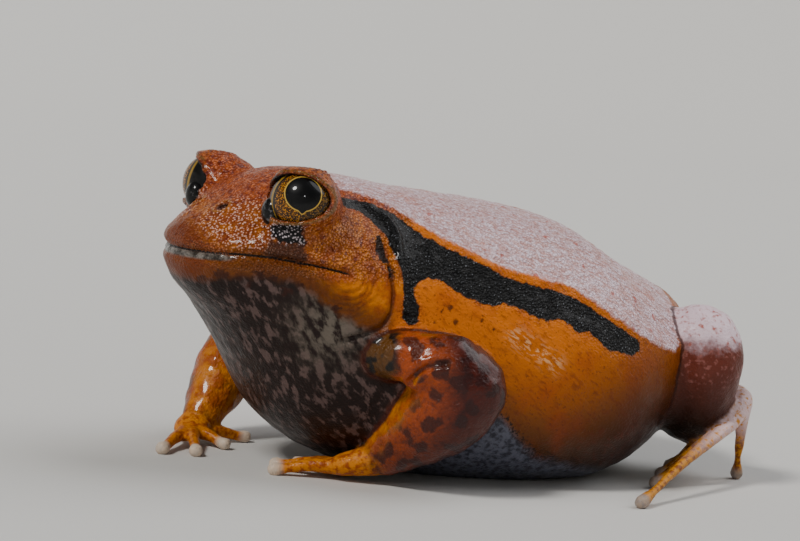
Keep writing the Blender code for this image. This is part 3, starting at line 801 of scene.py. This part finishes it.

# the hind leg, pinkish on top, partly a painted sheen, red-brown on its side, with painted shade
# darkening it below
shaded_leg_side = laid_over(tree, ramp(tree, height, 9, 22), colour(28, 13, 4), colour(98, 44, 32))
flecks = times(tree, ramp(tree, small, 0.54, 0.7, 0, 0.55), ramp(tree, height, 14, 21))
shaded_leg_side = laid_over(tree, flecks, shaded_leg_side, colour(158, 100, 94))
uneven = times(tree, soft_edge, 2.2)
leg_top = ramp(tree, plus(tree, height, uneven), 24, 27.5)
rosy = ramp(tree, small, 0.5, 0.72)
leg_pink = laid_over(tree, rosy, colour(218, 194, 204), colour(166, 92, 80))
leg_skin = laid_over(tree, leg_top, shaded_leg_side, leg_pink)
base = laid_over(tree, field_of(tree, "leg"), base, leg_skin)

# painted shade: dark red in the folds where the limbs leave the body and in the elbow's crease
fold_shade = ramp(tree, field_of(tree, "crease"), 0.4, 0.9, 0, 0.85)
base = laid_over(tree, fold_shade, base, colour(52, 12, 2))

# ochre hands, and feet that are pinkish above and ochre along the toes
hand_tan = laid_over(tree, ramp(tree, small, 0.42, 0.66), colour(198, 118, 8), colour(146, 66, 2))
wrist = plus(tree, field_of(tree, "wrist"), times(tree, soft_edge, 0.35))
base = laid_over(tree, ramp(tree, wrist, 0.25, 0.75), base, hand_tan)
foot_tan = laid_over(tree, ramp(tree, small, 0.44, 0.62), colour(190, 124, 16), colour(126, 66, 8))
foot_pink = times(tree, ramp(tree, height, 6, 12), ramp(tree, small, 0.34, 0.5))
foot_tan = laid_over(tree, foot_pink, foot_tan, colour(214, 184, 184))
base = laid_over(tree, field_of(tree, "foot"), base, foot_tan)
tip = ramp(tree, field_of(tree, "tip"), 0.35, 0.85, 0, 0.85)
grey_tip = laid_over(tree, field_of(tree, "foot"), colour(214, 206, 190), colour(150, 146, 142))
base = laid_over(tree, tip, base, grey_tip)

# black band and patches, spots, mouth, nostrils and lids
BLACK = colour(4, 4, 5)
spots_share = plus(tree, field_of(tree, "spots"), times(tree, ragged, 1.2))
spots_share = times(tree, spots_share, ramp(tree, field_of(tree, "spots"), 0.05, 0.3))
spots_share = ramp(tree, spots_share, 0.35, 0.8, 0, 0.8)
base = laid_over(tree, spots_share, base, colour(50, 18, 6))
band = plus(tree, field_of(tree, "band"), times(tree, ragged, 0.7))
black_share = ramp(tree, band, -0.15, 0.2)
# painted highlights: pale glints on the grains of the black band
sparkle = times(tree, ramp(tree, grain, 0.3, 0.12), ramp(tree, tiny, 0.46, 0.6))
glinting_band = laid_over(tree, times(tree, sparkle, 0.7), BLACK, colour(150, 154, 162))
base = laid_over(tree, black_share, base, glinting_band)
lip_patch = ramp(tree, plus(tree, field_of(tree, "lip_patch"), ragged), -0.4, 0.5, 0, 0.85)
base = laid_over(tree, lip_patch, base, colour(62, 32, 16))
patch_share = ramp(tree, plus(tree, field_of(tree, "eye_patch"), ragged), -0.3, 0.4)
# painted highlights: whitish tops of the grains on the black patch before the eye
glinting_black = laid_over(tree, times(tree, painted_glints, 0.85), BLACK, colour(214, 200, 206))
base = laid_over(tree, patch_share, base, glinting_black)
drum = ramp(tree, plus(tree, field_of(tree, "drum_patch"), ragged), -0.25, 0.2, 0, 0.95)
base = laid_over(tree, drum, base, BLACK)
front_lip = ramp(tree, field_of(tree, "front_lip"), 0.3, 0.8)
patchy = ramp(tree, wander, 0.44, 0.6)
grey_lip = laid_over(tree, patchy, colour(52, 44, 36), colour(128, 120, 112))
base = laid_over(tree, front_lip, base, grey_lip)
base = laid_over(tree, ramp(tree, field_of(tree, "mouth"), 0.45, 0.85), base, colour(16, 8, 6))
base = laid_over(tree, ramp(tree, field_of(tree, "nostril"), 0.2, 0.6), base, BLACK)
rim = ramp(tree, field_of(tree, "nostril_rim"), 0.5, 1.0, 0, 0.4)
base = laid_over(tree, rim, base, colour(188, 140, 60))
brow = laid_over(tree, ramp(tree, small, 0.42, 0.6), colour(176, 96, 32), colour(92, 28, 6))
base = laid_over(tree, field_of(tree, "brow"), base, brow)
lid_edge = ramp(tree, field_of(tree, "lid_edge"), 0.4, 0.9, 0, 0.8)
base = laid_over(tree, lid_edge, base, colour(116, 80, 26))
base = laid_over(tree, field_of(tree, "lid_inside"), base, colour(10, 6, 4))
tree.links.new(base, shader.inputs["Base Color"])

# wettest on the lids and the front lip, then on the arms and the grained skin
rough = ramp(tree, wander, 0.3, 0.7, 0.34, 0.5)
tree.links.new(rough, shader.inputs["Roughness"])
shader.inputs["Specular IOR Level"].default_value = 0.2
wet = sums(tree, "MAXIMUM", field_of(tree, "lid_edge"), field_of(tree, "front_lip"))
wet = sums(tree, "MAXIMUM", wet, times(tree, field_of(tree, "arm"), 0.6))
wet = sums(tree, "MAXIMUM", wet, times(tree, field_of(tree, "grained"), 0.32))
tree.links.new(ramp(tree, wet, 0.0, 1.0, 0.08, 0.7), shader.inputs["Coat Weight"])
shader.inputs["Coat Roughness"].default_value = 0.11
shader.inputs["Coat IOR"].default_value = 1.4

# rounded grains over smaller lumps, with wrinkles all over and knobbly arms
relief = plus(tree, times(tree, grain, -1.3), times(tree, small, 0.6))
strength = ramp(tree, field_of(tree, "grained"), 0.0, 1.0, 0.15, 1.0)
relief = times(tree, relief, strength)
relief = plus(tree, relief, times(tree, wrinkles, 0.5))
knobbly = times(tree, times(tree, wander, 2.6), field_of(tree, "arm"))
relief = plus(tree, relief, knobbly)
lifted = add_node(tree, "Bump", {"Strength": 1.0, "Distance": GRAIN_DEPTH, "Height": relief})
tree.links.new(lifted.outputs[0], shader.inputs["Normal"])
skin.data.materials.clear()
skin.data.materials.append(wet_skin)
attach(skin, "root")
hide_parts(*flesh_nodes)

# Eyes
# Each real eye is a clear wet dome over a gold iris netted with black, round a wide dark pupil
# with a notch below. A ball, raised a little in front, holds them all, and is coloured by how far
# each place is from the line of sight.

EYE_RADIUS = 5.45
EYE_GAZE = Vector((0.892, -0.430, 0.138)).normalized()
# the rest is in shares of the eye's radius
IRIS_REACH = 0.88
PUPIL_WIDE, PUPIL_TALL = 0.52, 0.50
PUPIL_SHIFT, PUPIL_LIFT = -0.06, 0.2
NOTCH_WIDE, NOTCH_DEEP = 0.13, 0.16
DOME_EDGE, DOME_TOP = 0.45, 0.95
DOME_RISE = 0.03
SIDES = ((1, "left"), (-1, "right"))

eye_finish, tree, shader = new_finish("wet_eye")
sight = add_node(tree, "Attribute", attribute_name="sight").outputs["Vector"]
seen = add_node(tree, "SeparateXYZ", {0: sight}).outputs


def far_from(tree, across, upright):
    """The wire of the distance of a place from the middle."""
    place = add_node(tree, "CombineXYZ", {0: across, 1: upright}).outputs[0]
    return add_node(tree, "VectorMath", {0: place}, operation="LENGTH").outputs["Value"]


# how far out each place is on the pupil's oval, whose edge is at one
wide_part = sums(tree, "DIVIDE", minus(tree, seen[0], PUPIL_SHIFT), PUPIL_WIDE)
tall_part = sums(tree, "DIVIDE", minus(tree, seen[1], PUPIL_LIFT), PUPIL_TALL)
pupil = far_from(tree, wide_part, tall_part)
beside = sums(tree, "ABSOLUTE", minus(tree, seen[0], PUPIL_SHIFT), 0)
notch = times(tree, ramp(tree, beside, 0.0, NOTCH_WIDE, 1, 0), ramp(tree, seen[1], 0, -0.25))
pupil = minus(tree, pupil, times(tree, notch, NOTCH_DEEP))

# the gold under its black net
net = grains(tree, 0.00021)
net_wide = speckle(tree, 0.00032, detail=4.0)
gold = laid_over(tree, ramp(tree, net_wide, 0.4, 0.6), colour(160, 112, 24), colour(104, 64, 10))
gold = laid_over(tree, ramp(tree, seen[0], 0.2, -0.6, 0, 0.6), gold, colour(236, 150, 24))
gaps = times(tree, minus(tree, net_wide, 0.5), 1.1)
black_net = ramp(tree, plus(tree, net, gaps), 0.26, 0.42, 0, 0.94)
iris = laid_over(tree, black_net, gold, colour(22, 14, 8))

# outwards a dark edge, a thin gold ring and black, then the pupil in a gold ring of its own
iris_far = far_from(tree, seen[0], seen[1])
dark_edge = ramp(tree, iris_far, IRIS_REACH - 0.05, IRIS_REACH)
iris = laid_over(tree, dark_edge, iris, colour(14, 10, 6))
gold_ring = ramp(tree, iris_far, IRIS_REACH + 0.02, IRIS_REACH + 0.04)
iris = laid_over(tree, gold_ring, iris, colour(150, 116, 36))
beyond = ramp(tree, iris_far, IRIS_REACH + 0.06, IRIS_REACH + 0.08)
iris = laid_over(tree, beyond, iris, colour(10, 7, 5))
iris = laid_over(tree, ramp(tree, pupil, 1.07, 1.03), iris, colour(196, 158, 66))
iris = laid_over(tree, ramp(tree, pupil, 1.0, 0.97), iris, colour(3, 3, 4))
iris = laid_over(tree, ramp(tree, seen[2], 0.05, 0.0), iris, colour(6, 5, 5))
tree.links.new(iris, shader.inputs["Base Color"])


def make_wet(shader, coat_roughness):
    """Gives a dull ground a clear wet coat."""
    shader.inputs["Roughness"].default_value = 0.4
    shader.inputs["Specular IOR Level"].default_value = 0.1
    shader.inputs["Coat Weight"].default_value = 1.0
    shader.inputs["Coat Roughness"].default_value = coat_roughness
    shader.inputs["Coat IOR"].default_value = 1.3


def on_side(place, side):
    """A place or a way of the left eye, or the same on the right one."""
    return Vector((place.x * side, place.y, place.z))


make_wet(shader, coat_roughness=0.03)

for side, word in SIDES:
    centre = Vector(drawn_from) + on_side(EYE_CENTRE, side) * SHARE
    gaze = on_side(EYE_GAZE, side)
    bpy.ops.object.select_all(action="DESELECT")
    bpy.ops.mesh.primitive_uv_sphere_add(
        segments=96, ring_count=64, radius=EYE_RADIUS * SHARE, location=centre,
        rotation=gaze.to_track_quat("Z", "Y").to_euler(),
    )
    eye = bpy.context.object
    eye.name = "eye_ball_" + word
    bpy.ops.object.transform_apply(location=True, rotation=True, scale=True)
    eye.data.shade_smooth()
    level = Vector((0, 0, 1)).cross(gaze).normalized()
    upward = gaze.cross(level)
    ways = (points_of(eye) - np.array(centre)) / (EYE_RADIUS * SHARE)
    sight_rows = ways @ np.array((level * side, upward, gaze)).T
    dome = 1 + DOME_RISE * fade(DOME_EDGE, DOME_TOP, sight_rows[:, 2])
    place_points(eye, np.array(centre) + ways * dome[:, None] * EYE_RADIUS * SHARE)
    layer = eye.data.attributes.new("sight", "FLOAT_VECTOR", "POINT")
    layer.data.foreach_set("vector", sight_rows.astype(np.float32).ravel())
    eye.data.materials.append(eye_finish)
    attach(eye, "root")
    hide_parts("eye_" + word)

# Inner lids
# In the front corner of each real eye lies a thin, dark, wet inner lid that can slide over the
# eye. It is a smaller, stretched ball set into the corner, with a few pale patches of painted
# highlight.

# from the eye's middle: its way, level and upward of the line of sight, and how far it is
INNER_WAY = (-0.93, -0.37)
INNER_AWAY = 4.9
INNER_RADIUS = 2.2
INNER_SHAPE = (0.92, 0.92, 1.14)

inner_finish, tree, shader = new_finish("wet_inner_lid")
# painted highlights: a few pale patches on the dark lid
shine = ramp(tree, speckle(tree, 0.0011, detail=2.0), 0.56, 0.66, 0, 0.75)
dark = laid_over(tree, shine, colour(6, 5, 5), colour(96, 94, 96))
tree.links.new(dark, shader.inputs["Base Color"])
make_wet(shader, coat_roughness=0.06)

for side, word in SIDES:
    gaze = on_side(EYE_GAZE, side)
    level = Vector((0, 0, 1)).cross(gaze).normalized()
    way = level * INNER_WAY[0] * side + gaze.cross(level) * INNER_WAY[1]
    centre = on_side(EYE_CENTRE, side) + way * INNER_AWAY
    place = Vector(drawn_from) + centre * SHARE
    bpy.ops.object.select_all(action="DESELECT")
    bpy.ops.mesh.primitive_uv_sphere_add(
        segments=64, ring_count=40, radius=INNER_RADIUS * SHARE, location=place
    )
    inner_lid = bpy.context.object
    inner_lid.name = "inner_lid_" + word
    bpy.ops.object.mode_set(mode="EDIT")
    bpy.ops.transform.resize(value=INNER_SHAPE, center_override=place)
    bpy.ops.object.mode_set(mode="OBJECT")
    bpy.ops.object.transform_apply(location=True, rotation=True, scale=True)
    inner_lid.data.shade_smooth()
    inner_lid.data.materials.append(inner_finish)
    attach(inner_lid, "root")

# Studio
# The floor is a wide pale disc whose rim bends up into a wall all round. Three far soft lights
# shine from above and from the camera's side, and the camera looks from where the photo was taken.

# the radii are in metres
FLOOR_RADIUS = 1.1
BEND_RADIUS = 1.1
BEND_STEPS = 10
SKY_TINT = (0.86, 0.88, 0.9, 1)
SKY_STRENGTH = 0.14

bpy.ops.object.select_all(action="DESELECT")
bpy.ops.mesh.primitive_circle_add(vertices=128, radius=FLOOR_RADIUS, fill_type="NGON")
floor = bpy.context.object
floor.name = "floor"
bpy.ops.object.mode_set(mode="EDIT")
bpy.ops.mesh.select_all(action="SELECT")
bpy.ops.mesh.region_to_loop()
reach = FLOOR_RADIUS
step_length = BEND_RADIUS * math.pi / 2 / BEND_STEPS
for step in range(BEND_STEPS):
    bent = math.radians(90 * (step + 0.5) / BEND_STEPS)
    grow = 1 + step_length * math.cos(bent) / reach
    reach *= grow
    bpy.ops.mesh.extrude_edges_move()
    bpy.ops.transform.resize(value=(grow, grow, 1))
    bpy.ops.transform.translate(value=(0, 0, step_length * math.sin(bent)))
bpy.ops.object.mode_set(mode="OBJECT")
floor.data.shade_smooth()
pale, tree, shader = new_finish("pale_floor")
shader.inputs["Base Color"].default_value = colour(208, 207, 204)
shader.inputs["Roughness"].default_value = 0.85
shader.inputs["Specular IOR Level"].default_value = 0.2
floor.data.materials.append(pale)

world = bpy.context.scene.world or bpy.data.worlds.new("studio")
bpy.context.scene.world = world
world.use_nodes = True
world.node_tree.nodes["Background"].inputs[0].default_value = SKY_TINT
world.node_tree.nodes["Background"].inputs[1].default_value = SKY_STRENGTH


def lamp(name, toward, strength, spread_degrees, tint):
    """A far soft light that shines from one way."""
    data = bpy.data.lights.new(name, "SUN")
    data.angle = math.radians(spread_degrees)
    data.energy = strength
    data.color = tint
    light = bpy.data.objects.new(name, data)
    light.rotation_mode = "QUATERNION"
    light.rotation_quaternion = Vector(toward).to_track_quat("Z", "Y")
    bpy.context.collection.objects.link(light)


lamp("key", (0.167, -0.631, 0.756), strength=2.1, spread_degrees=12, tint=(1.0, 0.97, 0.93))
lamp("soft", (0.155, 0.631, 0.758), strength=1.8, spread_degrees=55, tint=(0.97, 0.98, 1.0))
lamp("fill", (0.838, -0.36, 0.423), strength=0.45, spread_degrees=6, tint=(1, 1, 1))

# the photo is 800 pixels wide and 541 high, and the body's origin, raised, lies at the aim pixel
CAMERA_TURN = math.radians(56)
CAMERA_RISE = math.radians(7)
CAMERA_ROLL = math.radians(5)
CAMERA_AWAY = 0.42
CAMERA_LENS, CAMERA_SENSOR = 116, 36
AIM_HEIGHT = 22
AIM_PIXEL = (454, 339.5)
PICTURE = (800, 541)

camera_data = bpy.data.cameras.new("camera")
camera = bpy.data.objects.new("camera", camera_data)
bpy.context.collection.objects.link(camera)
level = math.cos(CAMERA_RISE)
backward = Vector(
    (math.sin(CAMERA_TURN) * level, -math.cos(CAMERA_TURN) * level, math.sin(CAMERA_RISE))
)
camera.rotation_mode = "QUATERNION"
aim = Vector(drawn_from) + Vector((0, 0, AIM_HEIGHT * SHARE))
camera.location = aim + backward * CAMERA_AWAY
facing = (-backward).to_track_quat("-Z", "Y").to_matrix()
rolled = facing @ Matrix.Rotation(CAMERA_ROLL, 3, "Z")
camera.rotation_quaternion = rolled.to_quaternion()
camera_data.lens = CAMERA_LENS
camera_data.sensor_width = CAMERA_SENSOR
camera_data.shift_x = -(AIM_PIXEL[0] - PICTURE[0] / 2) / PICTURE[0]
camera_data.shift_y = (AIM_PIXEL[1] - PICTURE[1] / 2) / PICTURE[0]
camera_data.clip_start = 0.01
bpy.context.scene.camera = camera

bpy.context.view_layer.update()
